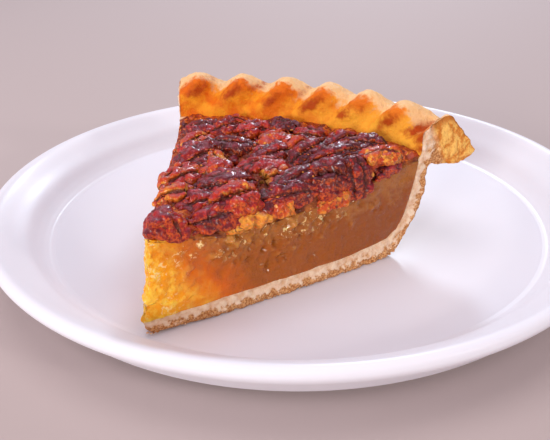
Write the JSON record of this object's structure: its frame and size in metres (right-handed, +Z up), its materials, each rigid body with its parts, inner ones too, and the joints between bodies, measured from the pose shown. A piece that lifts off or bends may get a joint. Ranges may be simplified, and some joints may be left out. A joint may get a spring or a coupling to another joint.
{
  "type": "slice of pecan pie on a plate",
  "caption": "Wedge of pecan pie with a crimped crust, custard filling and a heap of glazed pecans, resting on a round rimmed dinner plate.",
  "frame": {"origin": "centre of the plate's underside, on the table", "axes": "+Z up; +X to the right of the slice's tip; the slice points from its tip, near -Y, towards +X and +Y"},
  "size_m": [0.24, 0.24, 0.0586],
  "materials": {
    "plate_glaze": "gloss",
    "crust": "matt, baked",
    "filling": "moist, slightly glossy",
    "pecan_bed": "sticky glaze",
    "pecan": "glazed"
  },
  "bodies": {
    "root": {"plate": "plate_glaze", "crust": "crust", "filling": "filling", "pecan_bed": "pecan_bed", "pecan_01": "pecan", "pecan_02": "pecan", "pecan_03": "pecan", "pecan_04": "pecan", "pecan_05": "pecan", "pecan_06": "pecan", "pecan_07": "pecan", "pecan_08": "pecan", "pecan_09": "pecan", "pecan_10": "pecan", "pecan_11": "pecan", "pecan_12": "pecan", "pecan_13": "pecan", "pecan_14": "pecan", "pecan_15": "pecan", "pecan_16": "pecan", "pecan_17": "pecan", "pecan_18": "pecan", "pecan_19": "pecan", "pecan_20": "pecan", "pecan_21": "pecan", "pecan_22": "pecan", "pecan_23": "pecan", "pecan_24": "pecan", "pecan_25": "pecan", "pecan_26": "pecan", "pecan_27": "pecan", "pecan_28": "pecan", "pecan_29": "pecan", "pecan_30": "pecan", "pecan_31": "pecan", "pecan_32": "pecan", "pecan_33": "pecan", "pecan_34": "pecan", "pecan_35": "pecan", "pecan_36": "pecan"}
  },
  "joints": []
}
